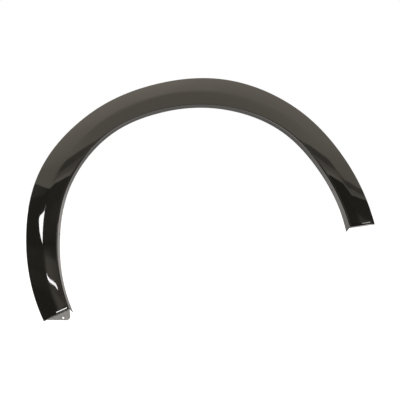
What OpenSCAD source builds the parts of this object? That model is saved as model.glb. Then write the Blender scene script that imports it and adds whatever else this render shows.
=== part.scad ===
// Wheel arch trim: a one-piece gloss moulding round a front wheel opening, with its push-in clips.
// Frame: +X towards the front of the car, +Y into the body side, +Z up. The origin is on the
// crown clip's axis, at the surface of the body panel that the trim is pushed against.
// The rails are set out round the wheel's axis, from the front end over the crown to the rear end.

/* [Wheel opening] */
// Opening radius at the front end, from the wheel's axis to the lip's edge
opening_r1 = 420; // [400:1:440]
// Opening radius one eighth of the way round
opening_r2 = 402; // [390:1:420]
// Opening radius two eighths of the way round
opening_r3 = 403; // [390:1:420]
// Opening radius three eighths of the way round
opening_r4 = 401; // [390:1:420]
// Opening radius half way round
opening_r5 = 406; // [390:1:425]
// Opening radius five eighths of the way round
opening_r6 = 422; // [405:1:440]
// Opening radius six eighths of the way round
opening_r7 = 426; // [405:1:445]
// Opening radius seven eighths of the way round
opening_r8 = 420; // [400:1:440]
// Opening radius at the rear end
opening_r9 = 427; // [405:1:445]

/* [Face width] */
// Width at the front end, from the lip's edge to the outer edge
face_w1 = 85; // [75:1:100]
// Width one eighth of the way round
face_w2 = 82; // [75:1:100]
// Width two eighths of the way round
face_w3 = 80; // [75:1:100]
// Width three eighths of the way round
face_w4 = 86; // [75:1:100]
// Width half way round
face_w5 = 84; // [75:1:100]
// Width five eighths of the way round
face_w6 = 86; // [75:1:105]
// Width six eighths of the way round
face_w7 = 100; // [80:1:115]
// Width seven eighths of the way round
face_w8 = 99; // [80:1:115]
// Width at the rear end
face_w9 = 90; // [80:1:110]

/* [Face section] */
// Wall thickness of the moulding
wall = 2.8; // [2:0.1:3.5]
// Inner band's width at the front end, from the inner corner to the soft line
inner_band_front = 32; // [26:1:40]
// Inner band's width half way round
inner_band_middle = 41; // [30:1:46]
// Inner band's width at the rear end
inner_band_rear = 41; // [30:1:46]
// How far the soft line lies behind the inner corner
line_depth = 6; // [3:0.5:10]
// How far the outer edge lies behind the inner corner
edge_depth = 25; // [18:0.5:30]
// How far the body panel lies behind the inner corner
panel_depth = 30; // [28:0.5:36]
// Bulge of the inner band, from its chord
inner_bulge = 0.8; // [0:0.1:1.5]
// Bulge of the outer band, from its chord
outer_bulge = 1.2; // [0:0.1:2]
// Radius between the lip and the inner band
corner_r = 4.5; // [3.6:0.1:6]
// Reach of the soft line's blend into each band
line_blend = 4; // [2:0.5:8]
// Radius of the outer edge's roll
edge_r = 3.4; // [3.2:0.1:4.5]
// Radius of the body side's bow, seen from above
bow_r = 9000; // [6000:500:20000]

/* [Lip] */
// Depth of the lip along the opening
lip_depth = 36; // [32:1:44]
// Depth of the lip at the rear end
lip_depth_rear = 28; // [26:1:40]
// How far the lip leans into the opening at the front end
lip_lean_front = 7; // [2:0.5:10]
// How far the lip leans into the opening half way round
lip_lean_middle = 4.5; // [1:0.5:8]
// How far the lip leans into the opening at the rear end
lip_lean_rear = 0.5; // [0:0.5:6]

/* [Ends] */
// Direction of the face's front end, from the wheel's axis
front_end_a = 7; // [4:0.2:12]
// Direction of the face's rear end
rear_end_a = 205.4; // [200:0.2:210]
// How much further round the lip runs at either end
lip_run_a = 1.6; // [0:0.2:3]
// Radius of the roll at either end of the face
end_r = 8; // [6:0.5:8.5]
// How far an end wall leans out over its depth
end_draft = 0.6; // [0.4:0.1:1.5]
// Depth of the wall that closes the front end
front_wall = 9; // [9:0.5:12]
// Depth of the wall that closes the rear end
rear_wall = 14; // [12:0.5:16]

/* [Rear fixing tab] */
// How far the tab lies behind the face, where it leaves the rear end
tab_set = 1.5; // [1:0.1:2]
// Height of the tab's lower edge above the face's outer corner
tab_up = 4.5; // [4:0.5:8]
// Thickness of the tab
tab_t = 3; // [2:0.1:4]
// Rounding of the tab's lower corner
tab_corner_r = 13; // [8:0.5:18]
// Radius of the tab's screw hole
tab_hole_r = 3; // [2:0.1:4]
// Distance of the hole from the tab's front edge
tab_hole_in = 21; // [14:0.5:28]
// Height of the hole above the tab's lower edge
tab_hole_up = 7; // [7:0.5:12]
// Slope of the tab, back from upright
tab_slope = 20; // [10:1:30]

/* [Lip screws] */
// Radius of the screw holes in the lip
screw_r = 2.75; // [2:0.05:4]
// Radius of the boss round each screw hole
screw_boss_r = 7; // [6:0.5:9]
// Thickness of the lip at a boss
screw_boss_t = 5; // [4:0.5:7]
// Distance of the screw holes behind the inner corner
screw_depth = 24; // [20:0.5:26]

/* [Ribs] */
// Thickness of the ribs
rib_t = 1.6; // [1.2:0.1:2.5]
// Height of a cross rib above the face's back
rib_h = 8; // [5:0.5:10]
// Distance of a gusset from its screw hole
gusset_off = 13; // [11:0.5:18]
// How far a gusset runs down the lip and along the face
gusset_reach = 22; // [16:0.5:24]

/* [Clips] */
// Direction of the first clip from the wheel's axis
clip_first_a = 14; // [13:0.5:16]
// Angle between neighbouring clips
clip_step_a = 19; // [18:0.5:19]
// Number of clips
clip_count = 10; // [6:1:10]
// Distance of the clips inside the outer edge
clip_inset = 34; // [32:0.5:36]
// Radius of a clip's neck
neck_r = 3.5; // [3:0.1:4]
// Radius of a clip's base plate
base_r = 7.5; // [6.5:0.5:8]
// Thickness of a clip's base plate
base_t = 1.8; // [1.2:0.1:2.5]
// Radius of a clip's sealing collar
collar_r = 9; // [7:0.5:10]
// Radius of a clip's stem at its core
stem_r = 2.4; // [2:0.1:3]
// Radius over a clip's barbs
barb_r = 4.4; // [3.8:0.1:5]
// Length of a clip's stem behind the panel
stem_l = 18; // [14:0.5:22]
// Number of barbs along a clip's stem
barb_count = 4; // [2:1:6]
// How much less each barb stands out than the one before it
barb_taper = 0.3; // [0:0.05:0.3]
// Radius of the tip of a clip's stem
tip_r = 1; // [0.5:0.1:1.5]
// Running clearance between a clip and its holder
clip_gap = 0.3; // [0.2:0.05:0.5]

/* [Clip holders] */
// Side clearance between a clip's base plate and the holder's walls
holder_play = 1.5; // [0.5:0.1:2]
// Wall thickness of a holder
holder_wall = 2; // [1.6:0.1:2.4]
// Thickness of the holder's slotted roof
roof_t = 2.5; // [2:0.1:3]

/* [Fineness] */
// Stations along the trim
stations = 60; // [48:1:72]

/* [Hidden] */
$fn = 48;

gloss_black = [0.13, 0.12, 0.11];
nylon_white = [0.87, 0.85, 0.78];

// Rails, evenly spaced from the front end to the rear end
opening = [
    opening_r1, opening_r2, opening_r3, opening_r4, opening_r5,
    opening_r6, opening_r7, opening_r8, opening_r9
];
face_w = [face_w1, face_w2, face_w3, face_w4, face_w5, face_w6, face_w7, face_w8, face_w9];
inner_band = [inner_band_front, inner_band_middle, inner_band_rear];
lip_lean = [lip_lean_front, lip_lean_middle, lip_lean_rear];

// The lip gets shallower over the last part of the rear leg
lip_drop_from = 0.78;
// Share of the trim's run over which the lip runs on past either end
lip_run_share = 0.06;
// Facets in the rolls, and points inside each band
corner_steps = 4;
edge_steps = 3;
line_steps = 2;
inner_steps = 2;
outer_steps = 3;
end_steps = 4;
// Share of the depth left behind the face that an end wall may fill
end_fill = 0.8;
// How far an added feature is sunk into the wall that carries it
root = wall / 2;
// The mounting plane and the crown clip give the frame's origin
crown_a = 90;
// A holder is square, round a clip's base plate
holder_w = 2 * (base_r + holder_play + holder_wall);

// Smooth curve through evenly spaced values, with t from 0 at the first to 1 at the last
function slope(v, i) =
    i == 0 ? 2 * v[1] - 1.5 * v[0] - 0.5 * v[2] :
    i == len(v) - 1 ? 1.5 * v[i] - 2 * v[i - 1] + 0.5 * v[i - 2] :
    (v[i + 1] - v[i - 1]) / 2;
function along(v, t) =
    let (n = len(v) - 1, i = max(0, min(floor(t * n), n - 1)), u = t * n - i, h = u * u * (3 - 2 * u))
    v[i] * (1 - h) + v[i + 1] * h + slope(v, i) * u * (1 - u) * (1 - u) - slope(v, i + 1) * u * u * (1 - u);
function mix(a, b, t) = a + (b - a) * t;
function ease(t) = let (c = max(0, min(1, t))) c * c * (3 - 2 * c);
function unit(v) = v / norm(v);

// Sizes of the section at t
function outer_r(t) = along(opening, t) + along(face_w, t);
function corner_at(t) = along(opening, t) + along(lip_lean, t);
function line_at(t) = corner_at(t) + along(inner_band, t);
function lip_depth_at(t) = mix(lip_depth, lip_depth_rear, ease((t - lip_drop_from) / (1 - lip_drop_from)));
function face_a(t) = mix(front_end_a, rear_end_a, t);
function lip_a(t) =
    let (s = lip_run_share) face_a(t) + lip_run_a * (ease((t - 1 + s) / s) - ease((s - t) / s));
function share_at(a) = (a - front_end_a) / (rear_end_a - front_end_a);
function bow(x) = x * x / (2 * bow_r);

// Depth of the face's front at radius r: two bands, each a shallow parabola, that meet at the soft line
function band(r, r0, y0, r1, y1, bulge) =
    let (q = (r - r0) / (r1 - r0)) mix(y0, y1, q) - 4 * bulge * q * (1 - q);
function inner_y(t, r) = band(r, corner_at(t), 0, line_at(t), line_depth, inner_bulge);
function outer_y(t, r) = band(r, line_at(t), line_depth, outer_r(t), edge_depth, outer_bulge);
function face_y(t, r) = r < line_at(t) ? inner_y(t, r) : outer_y(t, r);

// Points of an arc of radius r that rounds the corner b of the path a, b, c
function rounded(a, b, c, r, n) =
    let (
        u = unit(a - b),
        v = unit(c - b),
        half = acos(u * v) / 2,
        reach = r / tan(half),
        centre = b + unit(u + v) * r / sin(half),
        from = b + u * reach - centre,
        to = b + v * reach - centre,
        sweep = 180 - 2 * half
    )
    [for (i = [0:n]) let (q = sweep * i / n) centre + (from * sin(sweep - q) + to * sin(q)) / sin(sweep)];

// The front skin's section as [radius, depth], from the lip's edge to the outer edge's back
function skin(t) =
    let (
        r_lip = along(opening, t),
        r_corner = corner_at(t),
        r_line = line_at(t),
        r_edge = outer_r(t),
        lip_edge = [r_lip, lip_depth_at(t)],
        corner = [r_corner, 0],
        corner_next = [r_corner + 1, inner_y(t, r_corner + 1)],
        roll = rounded(lip_edge, corner, corner_next, corner_r, corner_steps),
        edge = [r_edge, edge_depth],
        edge_prior = [r_edge - 1, outer_y(t, r_edge - 1)],
        edge_back = [r_edge, panel_depth],
        edge_roll = rounded(edge_prior, edge, edge_back, edge_r, edge_steps),
        line_from = [r_line - line_blend, inner_y(t, r_line - line_blend)],
        line_to = [r_line + line_blend, outer_y(t, r_line + line_blend)],
        line_mid = [r_line, line_depth],
        band_from = roll[corner_steps][0],
        band_to = edge_roll[0][0]
    )
    concat(
        [lip_edge],
        roll,
        [for (i = [1:inner_steps - 1])
            let (r = mix(band_from, line_from[0], i / inner_steps)) [r, inner_y(t, r)]],
        [for (i = [0:line_steps])
            let (q = i / line_steps, p = 1 - q) line_from * p * p + line_mid * 2 * p * q + line_to * q * q],
        [for (i = [1:outer_steps - 1])
            let (r = mix(line_to[0], band_to, i / outer_steps)) [r, outer_y(t, r)]],
        edge_roll,
        [edge_back]
    );

// The section moved off its front skin by d, into the wall
function moved(pts, d) =
    [for (i = [0:len(pts) - 1])
        let (g = unit(pts[min(i + 1, len(pts) - 1)] - pts[max(i - 1, 0)])) pts[i] + d * [-g[1], g[0]]];

// Place of a section's point i: the lip's edge runs further round than the face
function placed(t, p, i) =
    let (a = i == 0 ? lip_a(t) : face_a(t), x = p[0] * cos(a))
    [x, p[1] + bow(x), p[0] * sin(a)];

// Outward direction along the trim at either end
function run_out(t) =
    let (
        s = t < 0.5 ? -0.01 : 0.01,
        here = line_at(t) * [cos(face_a(t)), sin(face_a(t))],
        beyond = line_at(t + s) * [cos(face_a(t + s)), sin(face_a(t + s))]
    )
    unit(beyond - here);

// One ring of the shell: [t, outward shift of the front skin, of the back skin, wall share of each]
function end_ring(t, k, depth) =
    k > end_steps ? [t, end_draft, end_draft - wall, 1, 1] :
    let (a = 90 * k / end_steps)
    [
        t,
        end_r * (sin(a) - 1),
        (end_r - wall) * sin(a) - end_r,
        (end_r / depth) * (1 - cos(a)),
        (end_r - wall) / (depth - wall) * (1 - cos(a))
    ];
rings = concat(
    [for (k = [end_steps + 1:-1:0]) end_ring(0, k, front_wall)],
    [for (i = [1:stations - 1]) [i / stations, 0, 0, 0, 0]],
    [for (k = [0:end_steps + 1]) end_ring(1, k, rear_wall)]
);
function ring_points(ring) =
    let (
        t = ring[0],
        front = skin(t),
        back = moved(front, wall),
        last = len(front) - 1,
        depth = t < 0.5 ? front_wall : rear_wall,
        go = run_out(t),
        fill = [for (i = [0:last])
            i == 0 || i == last ? 0 : min(depth, end_fill * (panel_depth - front[i][1]))],
        front_ring = [for (i = [0:last])
            placed(t, front[i], i) + [ring[1] * go[0], ring[3] * fill[i], ring[1] * go[1]]],
        back_ring = [for (i = [last:-1:0])
            let (rest = i == 0 || i == last ? 0 : fill[i] - (back[i][1] - front[i][1]))
            placed(t, back[i], i) + [ring[2] * go[0], ring[4] * rest, ring[2] * go[1]]]
    )
    concat(front_ring, back_ring);

// Skin of quads over the rings, closed by a strip across the wall at both ends
module shell() {
    sections = [for (ring = rings) ring_points(ring)];
    n = len(sections[0]);
    m = len(sections);
    half = n / 2;
    polyhedron(
        points = [for (s = sections) each s],
        faces = concat(
            [for (k = [0:m - 2]) for (i = [0:n - 1])
                let (a = k * n + i, b = k * n + (i + 1) % n) each [[a, b + n, b], [a, a + n, b + n]]],
            [for (i = [0:half - 2])
                let (a = i, b = i + 1, c = n - 2 - i, d = n - 1 - i) each [[a, c, d], [a, b, c]]],
            [for (i = [0:half - 2])
                let (o = (m - 1) * n, a = o + i, b = o + i + 1, c = o + n - 2 - i, d = o + n - 1 - i)
                each [[a, d, c], [a, c, b]]]
        )
    );
}

// Puts children, drawn with X outward, Y into the body and Z along the trim, at radius r and direction a
module at(a, r) {
    rotate([0, -a, 0])
        translate([r, bow(r * cos(a)), 0])
            children();
}

// A plate across the trim at direction a, shaped by points [radius, depth]
module web(a, pts, t, off = 0) {
    rotate([0, -a, 0])
        translate([0, 0, off - t / 2])
            linear_extrude(t)
                polygon(pts);
}

// Points [radius, depth] at direction a, moved with the body side's bow
function bowed(a, pts) = [for (p = pts) p + [0, bow(p[0] * cos(a))]];

// Points inside the wall, from radius r0 to r1 along the face
function in_face(t, r0, r1, n) = [for (i = [0:n]) let (r = mix(r0, r1, i / n)) [r, face_y(t, r) + root]];

// Radius of the lip's skin at depth y
function lip_r(t, y) = mix(corner_at(t), along(opening, t), y / lip_depth_at(t));

// Points inside the wall, from depth y on the lip, round the inner corner, to radius r1 on the face
function in_corner(t, y, r1, n) =
    let (r = corner_at(t) + corner_r, mid = corner_r - root)
    concat(
        [[lip_r(t, y) + root, y]],
        [[lip_r(t, corner_r) + root, corner_r]],
        [[r - mid * cos(45), corner_r - mid * sin(45)]],
        in_face(t, r, r1, n)
    );

// The roof that a clip hangs from, and the clip's place
roof_y = panel_depth - base_t;
function clip_r(a) = outer_r(share_at(a)) - clip_inset;

module holder(a) {
    t = share_at(a);
    r = clip_r(a);
    r0 = r - holder_w / 2;
    r1 = r + holder_w / 2;
    r2 = r1 - holder_wall;
    top = roof_y + bow(r * cos(a));
    difference() {
        union() {
            for (side = [-1, 1])
                web(a, concat(bowed(a, in_face(t, r0, r1, 4)), [[r1, top], [r0, top]]), holder_wall,
                    side * (holder_w - holder_wall) / 2);
            web(a, concat(bowed(a, in_face(t, r2, r1, 1)), [[r1, top], [r2, top]]), holder_w - holder_wall);
            at(a, r)
                translate([-holder_w / 2, roof_y - roof_t, -(holder_w - holder_wall) / 2])
                    cube([holder_w, roof_t, holder_w - holder_wall]);
        }
        at(a, r)
            translate([0, roof_y - 2 * roof_t, 0])
                rotate([-90, 0, 0])
                    cylinder(r = neck_r + clip_gap, h = 3 * roof_t);
        at(a, r)
            translate([-holder_w, roof_y - 2 * roof_t, -neck_r])
                cube([holder_w, 3 * roof_t, 2 * neck_r]);
    }
}

module cross_rib(a) {
    t = share_at(a);
    r_knee = corner_at(t) + gusset_reach + rib_h;
    web(a, bowed(a, concat(
        in_corner(t, screw_depth, outer_r(t) - 2 * edge_r, 8),
        [[r_knee, face_y(t, r_knee) + rib_h]]
    )), rib_t);
}

// A gusset stands at its own direction, beside the screw place at direction a
module gusset(a, side) {
    place = a + side * atan(gusset_off / corner_at(share_at(a)));
    t = share_at(place);
    web(place, bowed(place, in_corner(t, gusset_reach, corner_at(t) + gusset_reach, 3)), rib_t);
}

// Screw places alternate with the cross ribs, each half way between two clips
function between(i) = clip_first_a + (i + 0.5) * clip_step_a;
screw_places = [for (i = [0:2:clip_count - 2]) between(i)];
rib_places = [for (i = [1:2:clip_count - 1]) between(i)];

// Turns children drawn along Z so that they stand square on the lip at a screw place
module on_lip(a, from) {
    t = share_at(a);
    at(a, lip_r(t, screw_depth))
        translate([0, screw_depth, 0])
            rotate([0, 0, atan(along(lip_lean, t) / lip_depth_at(t))])
                translate([from, 0, 0])
                    rotate([0, 90, 0])
                        children();
}

module screw_boss(a) {
    on_lip(a, root)
        cylinder(r = screw_boss_r, h = screw_boss_t - root);
}

module screw_hole(a) {
    on_lip(a, -screw_boss_t)
        cylinder(r = screw_r, h = 3 * screw_boss_t);
}

// Rear fixing tab: a sloping plate that carries on below the face's rear end
tab_top = corner_at(1) * [cos(rear_end_a), sin(rear_end_a)];
tab_out = outer_r(1) * [cos(rear_end_a), sin(rear_end_a)];
tab_x = (along(opening, 1) + root) * cos(rear_end_a);
tab_z = tab_out[1] + tab_up;
tab_gz = tan(tab_slope);
tab_y0 = line_depth + tab_set + bow(tab_top[0]);
tab_y1 = edge_depth + tab_set + bow(tab_out[0]);
tab_gx = (tab_y1 - tab_y0 - tab_gz * (tab_top[1] - tab_out[1])) / (tab_top[0] - tab_out[0]);
function tab_y(x, z) = tab_y0 + tab_gx * (tab_top[0] - x) + tab_gz * (tab_top[1] - z);
function tab_outline() =
    let (
        back = -root * run_out(1),
        rise = (tab_up - back[1]) / (tab_top[1] - tab_out[1])
    )
    concat(
        [tab_out + back + rise * (tab_top - tab_out)],
        [for (q = [-90:15:0])
            [tab_x - tab_corner_r + tab_corner_r * cos(q), tab_z + tab_corner_r + tab_corner_r * sin(q)]],
        [[tab_x, tab_top[1]] + back]
    );

module tab() {
    outline = tab_outline();
    n = len(outline);
    difference() {
        polyhedron(
            points = concat(
                [for (p = outline) [p[0], tab_y(p[0], p[1]), p[1]]],
                [for (p = outline) [p[0], tab_y(p[0], p[1]) + tab_t, p[1]]]
            ),
            faces = concat(
                [[for (i = [n - 1:-1:0]) i]],
                [[for (i = [0:n - 1]) n + i]],
                [for (i = [0:n - 1]) let (j = (i + 1) % n) [i, j, n + j, n + i]]
            )
        );
        translate([tab_x - tab_hole_in, 0, tab_z + tab_hole_up])
            rotate([-90, 0, 0])
                cylinder(r = tab_hole_r, h = 2 * panel_depth);
    }
}

// Moves the work from the wheel's axis to the part's own frame
module installed() {
    translate([0, -panel_depth, -clip_r(crown_a)])
        children();
}

function clip_places() = [for (i = [0:clip_count - 1]) clip_first_a + i * clip_step_a];

module trim() {
    color(gloss_black)
        installed()
            difference() {
                union() {
                    shell();
                    tab();
                    for (a = clip_places()) holder(a);
                    for (a = rib_places) cross_rib(a);
                    for (a = screw_places) {
                        screw_boss(a);
                        gusset(a, -1);
                        gusset(a, 1);
                    }
                }
                for (a = screw_places) screw_hole(a);
            }
}

// One clip on its own axis: base plate under the roof, neck, sealing collar, barbed stem
module push_clip() {
    base_top = roof_y - roof_t - clip_gap;
    collar_y = roof_y + clip_gap;
    collar_t = panel_depth - collar_y;
    pitch = stem_l / (barb_count + 1);
    rotate([-90, 0, 0])
        rotate_extrude()
            polygon(concat(
                [
                    [0, base_top - base_t],
                    [base_r, base_top - base_t],
                    [base_r, base_top],
                    [neck_r, base_top],
                    [neck_r, collar_y],
                    [collar_r, panel_depth],
                    [collar_r - collar_t, panel_depth],
                    [neck_r, collar_y + collar_t / 2],
                    [stem_r, panel_depth]
                ],
                [for (i = [0:barb_count - 1]) let (y = panel_depth + (i + 1) * pitch)
                    each [[stem_r, y - pitch / 2], [barb_r - barb_taper * i, y], [stem_r, y + pitch / 2]]],
                [[tip_r, panel_depth + stem_l], [0, panel_depth + stem_l]]
            ));
}

module push_clips() {
    color(nylon_white)
        installed()
            for (a = clip_places())
                at(a, clip_r(a))
                    push_clip();
}

trim();
push_clips();
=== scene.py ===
import math

import bmesh
import bpy
from mathutils import Matrix, Vector


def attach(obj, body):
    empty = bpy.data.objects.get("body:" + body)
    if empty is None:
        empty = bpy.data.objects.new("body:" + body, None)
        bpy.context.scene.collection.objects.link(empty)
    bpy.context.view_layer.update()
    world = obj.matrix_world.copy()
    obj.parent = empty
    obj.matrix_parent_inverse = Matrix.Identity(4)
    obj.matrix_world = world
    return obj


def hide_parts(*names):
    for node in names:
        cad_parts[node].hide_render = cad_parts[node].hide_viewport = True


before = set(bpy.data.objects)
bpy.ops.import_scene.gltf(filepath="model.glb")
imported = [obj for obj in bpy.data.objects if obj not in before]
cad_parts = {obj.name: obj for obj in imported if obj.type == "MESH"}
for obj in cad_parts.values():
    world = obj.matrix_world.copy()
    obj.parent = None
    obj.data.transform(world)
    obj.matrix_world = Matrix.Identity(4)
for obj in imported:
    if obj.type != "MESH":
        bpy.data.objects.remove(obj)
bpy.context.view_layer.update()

# The arch is one injection moulding in black ABS with a polished face. Two shallow bands meet in a
# soft line, the lip turns back along the wheel opening, and a short wall closes either end. Sizes are
# in mm and degrees round the wheel's axis, and the rails run from the front end to the rear end.
opening = [420, 402, 403, 401, 406, 422, 426, 420, 427]
face_width = [85, 82, 80, 86, 84, 86, 100, 99, 90]
inner_band = [32, 41, 41]
lip_lean = [7, 4.5, 0.5]
lip_front, lip_rear, lip_taper = 36, 28, 0.22
wall = 2.8
line_depth, edge_depth, panel_depth = 6, 25, 30
inner_bulge, outer_bulge = 0.8, 1.2
corner_r, line_blend, edge_r, rim_r = 4.5, 4, 3.4, 0.6
bow_r = 9000
front_end, rear_end = 7, 205.4
lip_run, lip_run_share = 1.6, 0.06
# An end rolls over end_run along the trim and end_r in depth. Then its wall runs back, end_depth deep
# at the front end (0) and the rear end (1), but no deeper than end_fill of the room up to the panel.
end_r, end_run, end_draft, end_chamfer = 8, 10, 0.6, 0.4
end_depth = {0: 9, 1: 14}
end_fill = 0.8
# How deep the ribs and bosses run into the wall, and how far the clips stand in from the outer edge
root = wall / 2
clip_inset = 34
# Steps along the trim, those that the end rolls take over, and the steps across each stretch
STATIONS, ROLLED = 420, 4
LIP, ROLL, INNER, LINE, OUTER, EDGE, END, RIM = 12, 12, 14, 12, 20, 10, 10, 4


def mix(a, b, t):
    return a + (b - a) * t


def ease(t):
    t = max(0, min(1, t))
    return t * t * (3 - 2 * t)


def along(values, t):
    """Smooth curve through evenly spaced values, t from 0 to 1."""
    last = len(values) - 1

    def slope(i):
        if i == 0:
            return 2 * values[1] - 1.5 * values[0] - 0.5 * values[2]
        if i == last:
            return 1.5 * values[i] - 2 * values[i - 1] + 0.5 * values[i - 2]
        return (values[i + 1] - values[i - 1]) / 2

    i = max(0, min(math.floor(t * last), last - 1))
    u = t * last - i
    h = u * u * (3 - 2 * u)
    rise = slope(i) * u * (1 - u) ** 2 - slope(i + 1) * u * u * (1 - u)
    return mix(values[i], values[i + 1], h) + rise


def opening_r(t):
    return along(opening, t)


def corner_at(t):
    return opening_r(t) + along(lip_lean, t)


def line_at(t):
    return corner_at(t) + along(inner_band, t)


def outer_r(t):
    return opening_r(t) + along(face_width, t)


def lip_depth(t):
    return mix(lip_front, lip_rear, ease((t - 1 + lip_taper) / lip_taper))


def face_a(t):
    """Direction of a place on the face, in degrees round the wheel's axis."""
    return mix(front_end, rear_end, t)


def lip_a(t):
    """Direction of a place on the lip's edge, which runs on a little past the face at both ends."""
    s = lip_run_share
    return face_a(t) + lip_run * (ease((t - 1 + s) / s) - ease((s - t) / s))


def share_at(a):
    """Share of the trim's run at direction a, from the front end (0) to the rear end (1)."""
    return (a - front_end) / (rear_end - front_end)


def bow(x):
    """How far back the side of the body has curved at x."""
    return x * x / (2 * bow_r)


def band(r, r0, y0, r1, y1, bulge):
    """Depth at radius r of a band from (r0, y0) to (r1, y1) that bulges forward."""
    q = (r - r0) / (r1 - r0)
    return mix(y0, y1, q) - 4 * bulge * q * (1 - q)


def inner_y(t, r):
    return band(r, corner_at(t), 0, line_at(t), line_depth, inner_bulge)


def outer_y(t, r):
    return band(r, line_at(t), line_depth, outer_r(t), edge_depth, outer_bulge)


def face_y(t, r):
    return inner_y(t, r) if r < line_at(t) else outer_y(t, r)


def rounded(a, b, c, r, n):
    """Points of an arc of radius r that rounds the corner b of the path a, b, c."""
    u, v = (a - b).normalized(), (c - b).normalized()
    half = math.acos(u.dot(v)) / 2
    centre = b + (u + v).normalized() * (r / math.sin(half))
    start, stop = b + u * (r / math.tan(half)) - centre, b + v * (r / math.tan(half)) - centre
    sweep = math.pi - 2 * half
    return [
        centre + (start * math.sin(sweep * (1 - i / n)) + stop * math.sin(sweep * i / n)) / math.sin(sweep)
        for i in range(n + 1)
    ]


def skin(t):
    """The polished side's section as (radius, depth), from the lip's edge to the outer edge."""
    r_corner, r_line, r_edge = corner_at(t), line_at(t), outer_r(t)
    lip_edge = Vector((opening_r(t), lip_depth(t)))
    roll = rounded(lip_edge, Vector((r_corner, 0)), Vector((r_corner + 1, inner_y(t, r_corner + 1))),
                   corner_r, ROLL)
    edge_roll = rounded(Vector((r_edge - 1, outer_y(t, r_edge - 1))), Vector((r_edge, edge_depth)),
                        Vector((r_edge, panel_depth)), edge_r, EDGE)
    blend = [
        Vector((r_line - line_blend, inner_y(t, r_line - line_blend))),
        Vector((r_line, line_depth)),
        Vector((r_line + line_blend, outer_y(t, r_line + line_blend))),
    ]
    points = [lip_edge.lerp(roll[0], i / LIP) for i in range(LIP)] + roll
    for i in range(1, INNER):
        r = mix(roll[-1].x, blend[0].x, i / INNER)
        points.append(Vector((r, inner_y(t, r))))
    for i in range(LINE + 1):
        q = i / LINE
        points.append(blend[0] * (1 - q) ** 2 + blend[1] * 2 * q * (1 - q) + blend[2] * q * q)
    for i in range(1, OUTER):
        r = mix(blend[2].x, edge_roll[0].x, i / OUTER)
        points.append(Vector((r, outer_y(t, r))))
    return points + edge_roll + [Vector((r_edge, panel_depth))]


def moved(points, d):
    """The section moved off the polished side by d, into the wall."""
    out = []
    for i, p in enumerate(points):
        g = (points[min(i + 1, len(points) - 1)] - points[max(i - 1, 0)]).normalized()
        out.append(p + Vector((-g.y, g.x)) * d)
    return out


def rim(near, far, outward):
    """Rounds the wall's free edge: a quarter turn at the polished side, and one at the back."""
    across = (far - near).normalized()
    first, second = [], []
    for i in range(RIM + 1):
        c, s = math.cos(math.pi / 2 * i / RIM), math.sin(math.pi / 2 * i / RIM)
        first.append(near + (across - outward) * rim_r + (outward * s - across * c) * rim_r)
        second.append(far - (across + outward) * rim_r + (outward * c + across * s) * rim_r)
    return first, second


def run_out(t):
    """Outward direction along the trim at either end."""
    step = -0.01 if t < 0.5 else 0.01
    here, there = [
        Vector((math.cos(math.radians(face_a(q))), 0, math.sin(math.radians(face_a(q))))) * line_at(q)
        for q in (t, t + step)
    ]
    return (there - here).normalized()


def shell_ring(t, shift, deep):
    """One closed ring: shift and deep hold the end roll's outward shift and depth, front and back."""
    front = skin(t)
    back = moved(front, wall)
    roll_y, lip_y = front[LIP].y, front[0].y
    last = len(front) - 1
    depth = end_depth[round(t)]
    fill, rest, run = [], [], []
    for i in range(last + 1):
        share = min(1, (lip_y - front[i].y) / (lip_y - roll_y)) if i < LIP else 1
        fill.append(share * min(depth, end_fill * (panel_depth - front[max(i, LIP)].y)))
        rest.append(0 if i == last else fill[i] - share * (back[i].y - front[i].y))
        run.append(1 - share)
    go = run_out(t)
    points = []

    def put(p, i, side):
        a = math.radians(mix(face_a(t), lip_a(t), run[i]))
        x = p.x * math.cos(a)
        dy = deep[side] * (rest if side else fill)[i]
        points.append(Vector((x, p.y + bow(x) + dy, p.x * math.sin(a))) + go * shift[side])

    lip_out = (front[0] - front[1]).normalized()
    near, far = rim(front[0], back[0], lip_out)
    edge_near, edge_far = rim(front[-1], back[-1], Vector((0, 1)))
    for p in near:
        put(p, 0, 0)
    for i in range(1, last):
        put(front[i], i, 0)
    for p in edge_near:
        put(p, last, 0)
    for p in reversed(edge_far):
        put(p, last, 1)
    for i in range(last - 1, 0, -1):
        put(back[i], i, 1)
    for p in reversed(far):
        put(p, 0, 1)
    return points


def end_rings(t):
    """The rings of an end: the face rolls over, then runs back as a wall with a small chamfer."""
    depth = end_depth[round(t)]
    rings = []
    for k in range(END + 1):
        a = math.pi / 2 * k / END
        drop = 1 - math.cos(a)
        rings.append(shell_ring(
            t,
            (end_run * (math.sin(a) - 1), (end_run - wall) * math.sin(a) - end_run),
            (end_r / depth * drop, (end_r - wall) / (depth - wall) * drop),
        ))
    most = 1 - end_chamfer / depth
    rings.append(shell_ring(t, (end_draft, end_draft - wall), (most, most)))
    rings.append(shell_ring(t, (end_draft - end_chamfer, end_draft - wall + end_chamfer), (1, 1)))
    return rings


def clip_r(a):
    return outer_r(share_at(a)) - clip_inset


# The row's frame has its origin on the crown clip's axis, at the body panel's surface, in metres
to_row = Matrix.Scale(0.001, 4) @ Matrix.Translation((0, -panel_depth, -clip_r(90)))
SHARP = math.radians(35)


def at(a, r):
    """Matrix of a place on the trim: X outward, Y into the body and Z along the trim."""
    c, s = math.cos(math.radians(a)), math.sin(math.radians(a))
    return Matrix((
        (c, 0, -s, r * c),
        (0, 1, 0, bow(r * c)),
        (s, 0, c, r * s),
        (0, 0, 0, 1),
    ))


def placed(name, data):
    """A new object in the scene."""
    obj = bpy.data.objects.new(name, data)
    bpy.context.scene.collection.objects.link(obj)
    return obj


def moulded(mesh, work):
    """An object whose mesh takes the faces in work, smooth except at edges over the SHARP angle."""
    bmesh.ops.recalc_face_normals(work, faces=work.faces)
    work.to_mesh(mesh)
    work.free()
    mesh.shade_smooth()
    mesh.set_sharp_from_angle(angle=SHARP)
    return placed(mesh.name, mesh)


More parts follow.
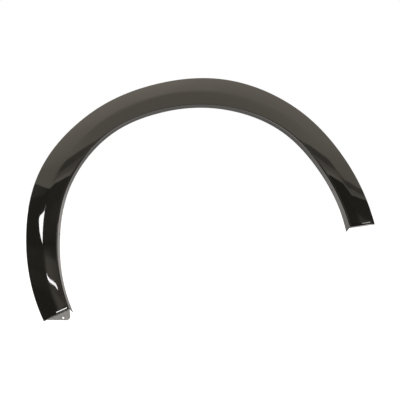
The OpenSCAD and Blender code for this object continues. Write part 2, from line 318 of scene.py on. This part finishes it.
def piece(name, points, faces):
    """A moulded object in the row's frame, from points in mm."""
    mesh = bpy.data.meshes.new(name)
    mesh.from_pydata([to_row @ p for p in points], [], faces)
    work = bmesh.new()
    work.from_mesh(mesh)
    return moulded(mesh, work)


# The stations nearest the ends are left out, where the end rolls' own rings take over
rings = end_rings(0)[::-1]
rings += [shell_ring(i / STATIONS, (0, 0), (0, 0)) for i in range(ROLLED, STATIONS - ROLLED + 1)]
rings += end_rings(1)
count = len(rings[0])
points = [p for ring in rings for p in ring]
faces = []
for k in range(len(rings) - 1):
    for i in range(count):
        j = (i + 1) % count
        faces.append((k * count + i, k * count + j, (k + 1) * count + j, (k + 1) * count + i))
# The edge of either end's wall is closed between its front half and its back half
for o in (0, (len(rings) - 1) * count):
    for i in range(count // 2 - 1):
        faces.append((o + i, o + i + 1, o + count - 2 - i, o + count - 1 - i))
shell = piece("arch_shell", points, faces)


def linear(code):
    """An sRGB hex colour as linear RGBA."""
    values = [int(code[i : i + 2], 16) / 255 for i in (1, 3, 5)]
    return [v / 12.92 if v <= 0.04045 else ((v + 0.055) / 1.055) ** 2.4 for v in values] + [1.0]


def add(tree, kind, settings, links):
    """Adds one shader node, with its settings and what feeds it."""
    made = tree.nodes.new(kind)
    for name, value in settings.items():
        if name in made.inputs:
            made.inputs[name].default_value = value
        else:
            setattr(made, name, value)
    for name, source in links.items():
        tree.links.new(source, made.inputs[name])
    return made


def material(name, settings):
    """A new material whose surface is one Principled BSDF."""
    made = bpy.data.materials.new(name)
    made.use_nodes = True
    made.node_tree.nodes.clear()
    surface = add(made.node_tree, "ShaderNodeBsdfPrincipled", settings, {})
    add(made.node_tree, "ShaderNodeOutputMaterial", {}, {"Surface": surface.outputs["BSDF"]})
    return made, made.node_tree, surface


def uneven(tree, surface, width, detail, strength, height):
    """Waves or grain on a surface, of the given width and height in metres."""
    spot = add(tree, "ShaderNodeTexCoord", {}, {})
    noise = add(tree, "ShaderNodeTexNoise", {"Scale": 1 / width, "Detail": detail},
                {"Vector": spot.outputs["Object"]})
    bump = add(tree, "ShaderNodeBump", {"Strength": strength, "Distance": height},
               {"Height": noise.outputs["Fac"]})
    tree.links.new(bump.outputs["Normal"], surface.inputs["Normal"])


# Polished black ABS as it leaves a mirror-finished tool: deep black, with a clear sharp reflection
# that wavers a little because the wall cools unevenly over some 30 mm
polished, tree, surface = material("polished_black_abs", {
    "Base Color": linear("#0b0a08"), "Roughness": 0.03, "IOR": 1.5})
uneven(tree, surface, width=0.03, detail=1.0, strength=0.01, height=0.0004)

# The same ABS off a spark-eroded tool side: a fine grain that scatters light to a soft grey sheen.
# The real grain is 0.15 mm wide, and it is drawn at 0.6 mm so that it shows
grained, tree, surface = material("grained_black_abs", {
    "Base Color": linear("#1d1c1b"), "Roughness": 0.48, "IOR": 1.5})
grain_w, grain_h = 0.0006, 0.0001
uneven(tree, surface, width=grain_w, detail=3.0, strength=0.35, height=grain_h)

# The polish ends where the rounding of the outer edge starts
polished_count = len(skin(0)) + RIM - 1
shell.data.materials.append(polished)
shell.data.materials.append(grained)
ring_faces = (len(rings) - 1) * count
for i, face in enumerate(shell.data.polygons):
    face.material_index = 0 if i < ring_faces and i % count < polished_count else 1
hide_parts("trim")
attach(shell, "root")

# Five screw holes through the lip, for the screws that it shares with the wheel-house liner. Each
# has a round boss behind it that makes the lip thick enough for the thread, moulded with the arch.
screw_depth, screw_r, boss_r, boss_t, boss_edge = 24, 2.75, 7, 5, 0.5
# Steps round a hole and round a boss
HOLE, BOSS = 48, 64
clip_first, clip_step, clip_count = 14, 19, 10
screw_places = [clip_first + (i + 0.5) * clip_step for i in range(0, clip_count - 1, 2)]
rib_places = [clip_first + (i + 0.5) * clip_step for i in range(1, clip_count, 2)]


def lip_r(t, y):
    """Radius of the lip at depth y."""
    return mix(corner_at(t), opening_r(t), y / lip_depth(t))


def on_lip(a):
    """Matrix of a screw place: Z stands square on the lip, pointing out through the wall."""
    t = share_at(a)
    lean = math.atan(along(lip_lean, t) / lip_depth(t))
    return (at(a, lip_r(t, screw_depth)) @ Matrix.Translation((0, screw_depth, 0))
            @ Matrix.Rotation(lean, 4, "Z") @ Matrix.Rotation(math.pi / 2, 4, "Y"))


def lathe(profile, matrix, n, points, faces, closed=False):
    """Turns a profile of (radius, height) about Z, adding to points and faces."""
    o = len(points)
    for r, z in profile:
        for k in range(n):
            q = 2 * math.pi * k / n
            points.append(matrix @ Vector((r * math.cos(q), r * math.sin(q), z)))
    rows = len(profile)
    for i in range(rows if closed else rows - 1):
        j = (i + 1) % rows
        for k in range(n):
            m = (k + 1) % n
            faces.append((o + i * n + k, o + i * n + m, o + j * n + m, o + j * n + k))
    if not closed:
        faces.append(tuple(o + k for k in range(n)))
        faces.append(tuple(o + (rows - 1) * n + k for k in range(n)))


points, faces = [], []
for a in screw_places:
    lathe([(screw_r, -boss_t), (screw_r, 2 * boss_t)], on_lip(a), HOLE, points, faces)
drill = piece("drill", points, faces)
cut = shell.modifiers.new("screw_holes", "BOOLEAN")
cut.object, cut.operation, cut.solver = drill, "DIFFERENCE", "EXACT"
bpy.context.view_layer.update()
cut_mesh = bpy.data.meshes.new_from_object(shell.evaluated_get(bpy.context.evaluated_depsgraph_get()))
shell.modifiers.clear()
shell.data = cut_mesh
shell.data.set_sharp_from_angle(angle=SHARP)
bpy.data.objects.remove(drill)

points, faces = [], []
for a in screw_places:
    lathe([(boss_r, root), (boss_r, boss_t - boss_edge), (boss_r - boss_edge, boss_t),
           (screw_r + boss_edge, boss_t), (screw_r, boss_t - boss_edge), (screw_r, root)],
          on_lip(a), BOSS, points, faces, closed=True)
bosses = piece("screw_bosses", points, faces)
bosses.data.materials.append(grained)
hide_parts("trim")
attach(bosses, "root")

# Thin ribs stiffen the arch behind: a pair of gussets beside each screw boss, and a cross rib
# between each two bosses. They are 1.6 mm thick and run into the wall, with rounded free edges.
rib_t, rib_h, rib_edge, gusset_off, gusset_reach = 1.6, 8, 0.3, 13, 22


def bowed(a, path):
    """The path of (radius, depth) pairs, set back as the side of the body is at direction a."""
    return [Vector((r, y + bow(r * math.cos(math.radians(a))))) for r, y in path]


def in_face(t, r0, r1, n):
    """Points inside the wall, from radius r0 to r1 along the face."""
    return [(mix(r0, r1, i / n), face_y(t, mix(r0, r1, i / n)) + root) for i in range(n + 1)]


def in_corner(t, y, r1, n):
    """Points inside the wall, from depth y on the lip, round the corner, to radius r1."""
    r, mid = corner_at(t) + corner_r, corner_r - root
    turn = [(r - mid * math.cos(q), corner_r - mid * math.sin(q)) for q in (0.4, 0.8, 1.2)]
    return [(lip_r(t, y) + root, y), (lip_r(t, corner_r) + root, corner_r)] + turn + in_face(t, r, r1, n)


def block(near, far, points, faces):
    """A closed block between two like outlines, added to points and faces."""
    o, n = len(points), len(near)
    points.extend(near + far)
    faces.append(tuple(range(o, o + n)))
    faces.append(tuple(range(o + 2 * n - 1, o + n - 1, -1)))
    faces.extend((o + i, o + (i + 1) % n, o + n + (i + 1) % n, o + n + i) for i in range(n))


def plate(a, path, t, off, points, faces):
    """A flat plate across the trim at direction a, with its outline as (radius, depth)."""
    near, far = [[at(a, 0) @ Vector((p.x, p.y, z)) for p in path] for z in (off - t / 2, off + t / 2)]
    block(near, far, points, faces)


def soften(obj, width):
    """Small rounded edges, as a moulding has."""
    bevel = obj.modifiers.new("edges", "BEVEL")
    bevel.width, bevel.segments, bevel.limit_method = width * 0.001, 2, "ANGLE"
    bevel.angle_limit = math.radians(50)
    bevel.use_clamp_overlap = True


points, faces = [], []
for a in rib_places:
    t = share_at(a)
    knee = corner_at(t) + gusset_reach + rib_h
    path = in_corner(t, screw_depth, outer_r(t) - 2 * edge_r, 14) + [(knee, face_y(t, knee) + rib_h)]
    plate(a, bowed(a, path), rib_t, 0, points, faces)
for a in screw_places:
    t = share_at(a)
    for side in (-1, 1):
        place = a + side * math.degrees(math.atan(gusset_off / corner_at(t)))
        u = share_at(place)
        path = in_corner(u, gusset_reach, corner_at(u) + gusset_reach, 4)
        plate(place, bowed(place, path), rib_t, 0, points, faces)
ribs = piece("cross_ribs", points, faces)
ribs.data.materials.append(grained)
soften(ribs, rib_edge)
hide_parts("trim")
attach(ribs, "root")

# Ten holders for the clips: two side walls, an outer wall and a slotted roof, which a clip's neck
# slides into from the inner side. They are part of the moulding too.
base_r, base_t, neck_r, clip_gap = 7.5, 1.8, 3.5, 0.3
holder_play, holder_wall, holder_edge, roof_t = 1.5, 2, 0.25, 2.5
holder_w = 2 * (base_r + holder_play + holder_wall)
roof_y = panel_depth - base_t
clip_places = [clip_first + i * clip_step for i in range(clip_count)]
# Steps round the end of a roof's slot
SLOT = 24


def slab(matrix, outline, y0, y1, points, faces):
    """A flat slab between depths y0 and y1, with its outline as (outward, along the trim)."""
    near, far = [[matrix @ Vector((x, y, z)) for x, z in outline] for y in (y0, y1)]
    block(near, far, points, faces)


points, faces = [], []
hole = neck_r + clip_gap
start = math.pi - math.asin(neck_r / hole)
turns = [start * (1 - 2 * i / SLOT) for i in range(SLOT + 1)]
arc = [(hole * math.cos(q), hole * math.sin(q)) for q in turns]
half_w, half_l = holder_w / 2, (holder_w - holder_wall) / 2
outline = [(-half_w, neck_r)] + arc + [(-half_w, -neck_r), (-half_w, -half_l), (half_w, -half_l),
                                      (half_w, half_l), (-half_w, half_l)]
for a in clip_places:
    t, r = share_at(a), clip_r(a)
    r0, r1 = r - half_w, r + half_w
    r2 = r1 - holder_wall
    top = roof_y + bow(r * math.cos(math.radians(a)))
    for side in (-1, 1):
        path = bowed(a, in_face(t, r0, r1, 6)) + [Vector((r1, top)), Vector((r0, top))]
        plate(a, path, holder_wall, side * half_l, points, faces)
    path = bowed(a, in_face(t, r2, r1, 1)) + [Vector((r1, top)), Vector((r2, top))]
    plate(a, path, holder_w - holder_wall, 0, points, faces)
    slab(at(a, r), outline, roof_y - roof_t, roof_y, points, faces)
holders = piece("clip_holders", points, faces)
holders.data.materials.append(grained)
soften(holders, holder_edge)
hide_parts("trim")
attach(holders, "root")

# A flat tab carries on below the rear end, for the screw into the sill. It is the same black ABS, off the
# grained side of the tool. Its soft grey beside the polished face is painted reflection of the bright
# floor that the tab's slope mirrors.
tab_set, tab_up, tab_t, tab_edge, tab_corner, tab_hole_r = 1.5, 4.5, 3, 0.4, 13, 3
tab_hole_in, tab_hole_up, tab_slope = 21, 7, math.tan(math.radians(20))
# Steps round the tab's lower corner
CORNER = 12
turn = Vector((math.cos(math.radians(rear_end)), math.sin(math.radians(rear_end))))
tab_top, tab_out = turn * corner_at(1), turn * outer_r(1)
tab_x, tab_z = (opening_r(1) + root) * turn.x, tab_out.y + tab_up
tab_y0, tab_y1 = line_depth + tab_set + bow(tab_top.x), edge_depth + tab_set + bow(tab_out.x)
tab_gx = (tab_y1 - tab_y0 - tab_slope * (tab_top.y - tab_out.y)) / (tab_top.x - tab_out.x)
go = run_out(1)
back = Vector((go.x, go.z)) * -root
rise = (tab_up - back.y) / (tab_top.y - tab_out.y)
outline = [tab_out + back + (tab_top - tab_out) * rise]
for k in range(CORNER + 1):
    q = math.radians(90 * k / CORNER - 90)
    outline.append(Vector((tab_x - tab_corner + tab_corner * math.cos(q),
                           tab_z + tab_corner + tab_corner * math.sin(q))))
outline.append(Vector((tab_x, tab_top.y)) + back)
hole = [Vector((tab_x - tab_hole_in + tab_hole_r * math.cos(q),
                tab_z + tab_hole_up + tab_hole_r * math.sin(q)))
        for q in [2 * math.pi * k / HOLE for k in range(HOLE)]]


def tab_point(p, d):
    """A place d mm behind the tab's front, from its place in the front view."""
    return Vector((p.x, tab_y0 + tab_gx * (tab_top.x - p.x) + tab_slope * (tab_top.y - p.y) + d, p.y))


work = bmesh.new()
for d in (0, tab_t):
    edges = []
    for loop in (outline, hole):
        made = [work.verts.new(to_row @ tab_point(p, d)) for p in loop]
        edges += [work.edges.new((made[i], made[(i + 1) % len(made)])) for i in range(len(made))]
    bmesh.ops.triangle_fill(work, use_beauty=True, use_dissolve=False, edges=edges)
work.verts.ensure_lookup_table()
n, m = len(outline), len(hole)
for start, size in ((0, n), (n, m)):
    for i in range(size):
        j = (i + 1) % size
        rim_ends = (start + i, start + j, n + m + start + j, n + m + start + i)
        work.faces.new([work.verts[k] for k in rim_ends])
tab = moulded(bpy.data.meshes.new("rear_tab"), work)
soften(tab, tab_edge)

# Fine grain on the tab, with a faint tooth. Its mid grey base colour is painted reflection: the real tab
# is black ABS that looks grey only where it mirrors the bright floor
tab_painted_sheen, tree, surface = material("black_abs_tab_painted_sheen", {
    "Base Color": linear("#6c6a65"), "Roughness": 0.55, "IOR": 1.5})
uneven(tree, surface, width=grain_w, detail=3.0, strength=0.3, height=grain_h)
tab.data.materials.append(tab_painted_sheen)
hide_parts("trim")
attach(tab, "root")

# Ten push-in clips in natural nylon hang in the holders: a round base plate under the roof, a neck,
# a thin sealing collar that closes the hole in the panel, and a stem with barbs.
collar_r, stem_r, barb_r, stem_l, tip_r, barbs, barb_taper = 9, 2.4, 4.4, 18, 1, 4, 0.3
base_edge, fillet, collar_edge, barb_edge, tip_edge, core_r = 0.4, 0.2, 0.1, 0.15, 0.3, 0.01
# Steps round a clip
CLIP = 48
base_top = roof_y - roof_t - clip_gap
base_end, stem_end = base_top - base_t, panel_depth + stem_l
collar_y = roof_y + clip_gap
collar_t = panel_depth - collar_y
profile = [(core_r, base_end), (base_r - base_edge, base_end), (base_r, base_end + base_edge),
           (base_r, base_top - base_edge), (base_r - base_edge, base_top), (neck_r + fillet, base_top),
           (neck_r, base_top + fillet), (neck_r, collar_y),
           (collar_r - collar_edge, panel_depth - collar_edge),
           (collar_r - 1.5 * collar_edge, panel_depth), (collar_r - collar_t, panel_depth),
           (neck_r, collar_y + collar_t / 2), (stem_r, panel_depth)]
pitch = stem_l / (barbs + 1)
for i in range(barbs):
    y = panel_depth + (i + 1) * pitch
    r = barb_r - barb_taper * i
    profile += [(stem_r, y - pitch / 2), (r - barb_edge, y - fillet), (r, y),
                (r - barb_edge, y + barb_edge), (stem_r, y + pitch / 2)]
profile += [(tip_r, stem_end - tip_edge), (tip_r - tip_edge, stem_end), (core_r, stem_end)]
points, faces = [], []
for a in clip_places:
    lathe(profile, at(a, clip_r(a)) @ Matrix.Rotation(-math.pi / 2, 4, "X"), CLIP, points, faces)
clips = piece("clips", points, faces)

# Natural nylon: a warm milky white that lets a little light in, with a soft moulded sheen that is
# a little uneven from place to place, over 4 mm or so
nylon, tree, surface = material("moulded_natural_nylon", {
    "Base Color": linear("#dfdac9"), "Roughness": 0.42, "IOR": 1.53,
    "Subsurface Weight": 0.15, "Subsurface Scale": 0.002})
spot = add(tree, "ShaderNodeTexCoord", {}, {})
cloud_w = 0.004
cloud = add(tree, "ShaderNodeTexNoise", {"Scale": 1 / cloud_w, "Detail": 2.0},
            {"Vector": spot.outputs["Object"]})
sheen = add(tree, "ShaderNodeMapRange", {"To Min": 0.36, "To Max": 0.5}, {"Value": cloud.outputs["Fac"]})
tree.links.new(sheen.outputs["Result"], surface.inputs["Roughness"])
clips.data.materials.append(nylon)
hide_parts("push_clips")
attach(clips, "root")

# The smooth walls bulge past the solids' flat facets by up to 0.05 mm, so all is drawn 0.05% smaller
drawn = 0.9995
for own in (shell, bosses, ribs, holders, tab, clips):
    own.data.transform(Matrix.Scale(drawn, 4))

# A pale floor below the arch, which is held up by its crown clip, as on a stand. The world is plain
# white where it is seen, and one large soft lamp from above and the left gives the pieces shape.
floor_z, floor_half = -1.05, 60
mesh = bpy.data.meshes.new("floor")
mesh.from_pydata([(x, y, floor_z) for x, y in ((-floor_half, -floor_half), (floor_half, -floor_half),
                                               (floor_half, floor_half), (-floor_half, floor_half))],
                 [], [(0, 1, 2, 3)])
floor = placed("floor", mesh)
floor.visible_glossy = False

# Matt pale paint, with a faint glow that only the camera sees so that it meets the white beyond
paint, tree, surface = material("pale_floor_paint", {"Base Color": linear("#f2f2f2"), "Roughness": 0.9})
path_kind = add(tree, "ShaderNodeLightPath", {}, {})
glow = add(tree, "ShaderNodeEmission", {"Color": (1, 1, 1, 1), "Strength": 0.45}, {})
both = add(tree, "ShaderNodeAddShader", {}, {0: surface.outputs["BSDF"], 1: glow.outputs["Emission"]})
seen = add(tree, "ShaderNodeMixShader", {}, {
    0: path_kind.outputs["Is Camera Ray"], 1: surface.outputs["BSDF"], 2: both.outputs["Shader"]})
tree.links.new(seen.outputs["Shader"], tree.nodes["Material Output"].inputs["Surface"])
floor.data.materials.append(paint)

# The world is white to the camera, in mirrors and through clear things, and lights the rest at 0.7
world = bpy.data.worlds.new("studio")
bpy.context.scene.world = world
world.use_nodes = True
tree = world.node_tree
tree.nodes.clear()
path_kind = add(tree, "ShaderNodeLightPath", {}, {})
shown = add(tree, "ShaderNodeMath", {"operation": "MAXIMUM"}, {
    0: path_kind.outputs["Is Camera Ray"], 1: path_kind.outputs["Is Glossy Ray"]})
shown = add(tree, "ShaderNodeMath", {"operation": "MAXIMUM"}, {
    0: shown.outputs["Value"], 1: path_kind.outputs["Is Transmission Ray"]})
level = add(tree, "ShaderNodeMapRange", {"To Min": 0.7, "To Max": 1.0}, {"Value": shown.outputs["Value"]})
sky = add(tree, "ShaderNodeBackground", {"Color": (1, 1, 1, 1)}, {"Strength": level.outputs["Result"]})
add(tree, "ShaderNodeOutputWorld", {}, {"Surface": sky.outputs["Background"]})

lamp = bpy.data.lights.new("soft_lamp", "AREA")
lamp.energy, lamp.shape, lamp.size = 90, "DISK", 2.5
soft_lamp = placed("soft_lamp", lamp)
soft_lamp.location = (-1.6, -2.2, 2.6)
aim = Vector((0, 0, -0.2))
soft_lamp.rotation_euler = (aim - soft_lamp.location).to_track_quat("-Z", "Y").to_euler()
soft_lamp.visible_glossy = False

# What the polished face mirrors: a far screen all round, in degrees of azimuth and elevation. A light
# tent hangs overhead with a grey seam above its hem, dark cloth stands round the horizon, a pale patch
# of floor shows at the lower left, and there are three far lamps and a near one. Only mirrors see it.
SCREEN_R, LAMP_R, ROW_GAP = 400, 390, 0.02
hem = [(-90, 18), (-66, 14.4), (-60, 12.5), (-57, 11.9), (-53, 10.9), (-50, 10.2), (-46, 9.2), (-39, 9.1),
       (-35, 8.6), (-32, 8.2), (-29, 7.7), (-26, 7), (-22, 5.9), (-18, 4.5), (-12, 0.5), (-8, -1.5),
       (-5, -16), (5, -16), (8, -2), (12, 0.2), (18, 4.6), (23, 7.2), (26, 8.9), (30, 10.2), (35, 11.6),
       (41, 12.7), (45, 13.1), (51, 12.7), (58, 13.9), (70, 14.7)]
seam_low = [(-90, 19), (-66, 16.6), (-60, 15), (-52, 13), (-46, 12), (-38, 11.5), (-32, 11), (-26, 10.2),
            (-22, 9.6), (-18, 7.4), (-12, 4.3), (0, -1), (12, 4), (18, 7.8), (23, 11), (30, 13),
            (35, 14.4), (40, 15.4), (48, 14.7), (53, 15.1), (58, 15.9)]
seam_high = [(-90, 19.6), (-66, 18.6), (-60, 17.6), (-52, 16), (-46, 15.4), (-38, 14.9), (-32, 14.1),
             (-26, 13.4), (-22, 12.5), (-18, 11.6), (-12, 7.2), (-8, 3), (0, 1), (8, 2), (12, 6.5),
             (18, 11.8), (25, 14.7), (30, 15.8), (35, 17), (40, 18), (45, 16.8), (50, 17), (58, 18)]
patch = [(-46, 0.28), (-42, 0.6), (-38, 1.1), (-34, 1), (-28, 0.8), (-22, 0.75), (-12, 0.4), (0, 0.2)]
# Each row has the rail that it follows or none, its elevation above that, and its light by azimuth
rows = [
    (None, -90, [(0, 1.2)]),
    (None, -70, [(-50, 0.2), (-35, 1.2), (35, 1.2), (50, 0.2)]),
    (None, -50, [(-36, 0.2), (-22, 1.2), (22, 1.2), (36, 0.2)]),
    (None, -30, [(-15, 0.2), (-8, 1.2), (8, 1.2), (15, 0.2)]),
    (None, -17, [(-10, 0.2), (-5, 1.2), (5, 1.2), (10, 0.2)]),
    (None, -15, [(-40, 0.2), (-37, 0.4), (-34, 1), (-20, 1), (-12, 0.3), (0, 0.2)]),
    (None, -12, [(-42, 0.3), (-40, 0.45), (-38, 0.75), (-35, 1), (-20, 1), (-12, 0.3), (0, 0.2)]),
    (None, -10.5, [(-46, 0.3), (-42, 0.5), (-38, 0.75), (-28, 0.6), (-22, 0.7), (-12, 0.3), (0, 0.2)]),
    (None, -9, [(-45, 0.25), (-42, 0.5), (-38, 1.05), (-30, 0.85), (-24, 0.45), (-12, 0.35), (0, 0.2)]),
    (None, -8.3, patch),
    (None, -5.8, patch),
    (None, -5.1, [(-46, 0.28), (-40, 0.65), (-36, 0.6), (-30, 0.4), (-12, 0.35), (0, 0.2)]),
    (None, -3.9, [(-46, 0.22), (-42, 0.28), (-36, 0.38), (-30, 0.3), (0, 0.2)]),
    (None, -3.4, [(0, 0.2)]),
    (None, -2.4, [(-46, 0.2), (-42, 0.3), (-20, 0.3), (20, 0.22)]),
    (None, 1.5, [(-50, 0.22), (-44, 0.35), (-36, 0.32), (-30, 0.4), (-20, 0.4), (20, 0.25)]),
    (None, 3.6, [(-50, 0.22), (-40, 0.28), (-28, 0.3), (-20, 0.3), (20, 0.22), (45, 0.3), (53, 0.6)]),
    (None, 7.4, [(-60, 0.25), (-46, 0.22), (-42, 0.3), (-20, 0.3), (20, 0.22), (46, 0.22), (54, 0.6)]),
    (None, 8.7, [(-60, 0.45), (-50, 0.4), (-47, 0.25), (-42, 0.3), (-20, 0.3), (20, 0.22), (58, 0.28)]),
    (hem, -0.02, [(-60, 0.5), (-50, 0.42), (-47, 0.25), (-42, 0.3), (-20, 0.3), (20, 0.22)]),
    (hem, 0, [(-46, 1.6), (-38, 2), (-30, 1.95), (-24, 1.75), (-18, 1.3), (0, 1.6), (18, 1.4), (23, 1.75),
              (33, 1.9), (38, 1.65), (43, 1.25), (70, 1.2)]),
    (hem, 1.7, [(-46, 1.6), (-42, 1.25), (-38, 1.03), (-18, 1), (-10, 1.6), (10, 1.6), (18, 1),
                (25, 1.25), (40, 1.15), (70, 1.15)]),
    (seam_low, -0.25, [(-46, 1.6), (-42, 1.25), (-38, 1), (-18, 1), (-10, 1.6), (10, 1.6), (20, 1.1),
                       (70, 1.1)]),
    (seam_low, 0.25, [(-46, 1.6), (-42, 1.2), (-40, 0.85), (-37, 0.55), (-28, 0.6), (-16, 0.7),
                      (-10, 1.6), (9, 1.7), (13, 0.7), (30, 0.62), (39, 0.68), (43, 1), (48, 0.58),
                      (70, 0.6)]),
    (seam_high, -0.5, [(-46, 1.6), (-42, 1.25), (-40, 0.85), (-37, 0.66), (-28, 0.65), (-16, 0.72),
                       (-10, 1.6), (9, 1.7), (13, 0.75), (28, 0.65), (39, 0.75), (43, 1.05), (48, 0.6),
                       (70, 0.6)]),
    (seam_high, 0.4, [(-42, 1.6), (-36, 1.85), (-30, 1.8), (-26, 1.65), (-16, 1.6), (4, 1.62), (18, 1.78),
                      (30, 1.9), (38, 1.8), (43, 1.5), (70, 1.45)]),
    (None, 20, [(-60, 1.85), (-38, 1.88), (-34, 1.75), (-28, 1.6), (4, 1.6), (20, 1.8), (30, 1.9),
                (38, 1.85), (44, 1.7), (52, 1.6), (68, 1.52)]),
    (None, 24, [(-36, 2), (-28, 1.7), (-20, 1.6), (4, 1.6), (20, 1.8), (36, 2), (44, 1.9), (52, 1.78),
                (60, 1.62), (68, 1.52)]),
    (None, 32, [(-60, 2.2), (-44, 2.1), (-36, 2.3), (-28, 2.2), (-20, 1.9), (-12, 1.6), (0, 1.65),
                (12, 1.8), (20, 2), (60, 2), (68, 1.9)]),
    (None, 40, [(-36, 2.4), (-20, 2.2), (-12, 1.95), (12, 2), (20, 2.1), (44, 2.12), (60, 2.02)]),
    (None, 48, [(-20, 2.45), (-12, 2.3), (4, 2.3), (12, 2.12), (60, 2.15)]),
    (None, 64, [(-20, 2.7), (-4, 2.5), (20, 2.5), (44, 2.4)]),
    (None, 90, [(0, 2.8)]),
]
bright_sides = [(90, 6), (130, 6), (150, 1.2), (210, 1.2), (230, 6), (270, 6)]
dim_floor = [(110, 0.3), (145, 0.8), (163, 0.6), (197, 0.6), (215, 0.8), (250, 0.3)]
back_rows = [
    (None, -90, [(0, 1.2)]),
    (None, -70, bright_sides),
    (None, -44, bright_sides),
    (None, -38, dim_floor),
    (None, -30, dim_floor),
    (None, -22, [(110, 1), (150, 0.85), (163, 0.4), (190, 0.33), (201, 0.5), (203.5, 0.8), (206, 1),
                 (213, 1.1)]),
    (None, -14, [(110, 1), (150, 0.95), (163, 0.45), (170, 0.33), (190, 0.33), (201, 0.5), (203.5, 0.8),
                 (206, 1), (213, 1.1)]),
    (None, -10, [(110, 1), (150, 1), (162, 0.6), (167, 0.55), (175, 0.33), (190, 0.33), (203, 0.7),
                 (213, 1.1)]),
    (None, -7.3, [(110, 1.2), (150, 1.2), (162, 0.92), (167, 0.85), (175, 0.35), (190, 0.33), (203, 0.7),
                  (213, 1.1)]),
    (None, -2, [(110, 1.2), (150, 1.2), (162, 1.08), (167, 1.08), (175, 0.4), (190, 0.33), (203, 0.7),
                (213, 1.1)]),
    (None, 3, [(110, 1.2), (150, 1.2), (162, 0.8), (167, 0.8), (175, 0.4), (190, 0.33), (203, 0.7),
               (213, 1.1)]),
    (None, 8, [(110, 1), (150, 0.9), (163, 0.45), (190, 0.33), (203, 0.7), (213, 1.1)]),
    (None, 90, [(0, 1.6)]),
]


def rail(points, x):
    """Straight lines through (place, value) pairs, level beyond the ends."""
    if x <= points[0][0]:
        return points[0][1]
    for (x0, y0), (x1, y1) in zip(points, points[1:]):
        if x <= x1:
            return mix(y0, y1, (x - x0) / (x1 - x0))
    return points[-1][1]


def heights(table, az):
    """Elevations of a table's rows at one azimuth, each kept below the next."""
    out = [offset + (rail(base, az) if base else 0) for base, offset, levels in table]
    for k in range(len(out) - 2, -1, -1):
        out[k] = min(out[k], out[k + 1] - ROW_GAP)
    return out


def on_screen(az, el, r=SCREEN_R):
    """A place at radius r, seen from the arch at an azimuth and an elevation."""
    az, el = math.radians(az), math.radians(el)
    return (r * math.sin(az) * math.cos(el), -r * math.cos(az) * math.cos(el), r * math.sin(el))


def card(name, corners, faces, color, strength):
    """A stage mesh that only mirrors show. Strength is one number, or a list with one per corner."""
    mesh = bpy.data.meshes.new(name)
    mesh.from_pydata(corners, [], faces)
    obj = placed(name, mesh)
    cloth = bpy.data.materials.new(name)
    cloth.use_nodes = True
    cloth.node_tree.nodes.clear()
    light = add(cloth.node_tree, "ShaderNodeEmission", {"Color": linear(color)}, {})
    if isinstance(strength, list):
        mesh.attributes.new("level", "FLOAT", "POINT").data.foreach_set("value", strength)
        read = add(cloth.node_tree, "ShaderNodeAttribute", {"attribute_name": "level"}, {})
        cloth.node_tree.links.new(read.outputs["Fac"], light.inputs["Strength"])
    else:
        light.inputs["Strength"].default_value = strength
    add(cloth.node_tree, "ShaderNodeOutputMaterial", {}, {"Surface": light.outputs["Emission"]})
    mesh.materials.append(cloth)
    obj.visible_camera = obj.visible_diffuse = obj.visible_shadow = obj.visible_transmission = False


# The tent is stretched from side to side in front, and the rear cloth closes the ring behind
for name, table, azimuths, tint in (("tent", rows, range(-90, 91), "#fff5e4"),
                                    ("rear_cloth", back_rows, range(90, 271, 2), "#fff9f3")):
    corners, levels, n = [], [], len(table)
    for az in azimuths:
        for (base, offset, points), el in zip(table, heights(table, az)):
            corners.append(on_screen(az, el))
            levels.append(rail(points, az))
    card(name, corners, [(k * n + i, k * n + i + 1, (k + 1) * n + i + 1, (k + 1) * n + i)
                         for k in range(len(azimuths) - 1) for i in range(n - 1)], tint, levels)

# The far lamps hang just inside the screen, each with its strength and its corners
lamps = {
    "tall_lamp": (24, [(-45.4, 5.1), (-45.8, 3.4), (-48.1, 2.85), (-50, 2.5), (-51, 1.9), (-50.8, 1.1),
                       (-50.4, 0.1), (-49.8, -0.9), (-48.9, -1.8), (-48, -2.5), (-47, -3), (-45.6, -3.2)]),
    "strip_lamp": (26, [(-41.2, -8.6), (-40.1, -9.1), (-37.4, -9.4), (-33.6, -9.25), (-31.1, -9.2),
                        (-30, -9.4), (-29.4, -9.7), (-30.1, -9.95), (-32.1, -9.75), (-34.6, -9.9),
                        (-37.1, -10.05), (-39.1, -9.95), (-40.4, -9.7), (-41.8, -9.4)]),
    "side_lamp": (9, [(54, 0), (66, 4), (68, -9), (56, -9)]),
}
for name, (strength, corners) in lamps.items():
    card(name, [on_screen(az, el, LAMP_R) for az, el in corners], [tuple(range(len(corners)))],
         "#ffffff", strength)

# The near lamp is small and close to the rear end, so that only the roll of that end mirrors it. Its
# corners are in metres.
card("end_lamp", [(-0.543, -0.156, -0.7025), (-0.527, -0.137, -0.756), (-0.432, -0.173, -0.738),
                  (-0.439, -0.198, -0.674)], [(0, 1, 2, 3)], "#ffffff", 26)

# The camera stands square on at the photograph's distance, level, a little above the wheel's axis. Its
# place is in mm from that axis, and its focal length is in pixels of a picture 400 pixels wide.
camera_x, camera_back, camera_up = -10.2, 2200, 133.1
sensor_w, focal_px, picture_px = 36, 766.55, 400
lens = bpy.data.cameras.new("camera")
lens.sensor_width = sensor_w
lens.lens = sensor_w * focal_px / picture_px
lens.clip_end = 100
camera = placed("camera", lens)
camera.location = to_row @ Vector((camera_x, -camera_back, camera_up))
camera.rotation_euler = (math.pi / 2, 0, 0)
bpy.context.scene.camera = camera
bpy.context.scene.view_settings.view_transform = "Standard"
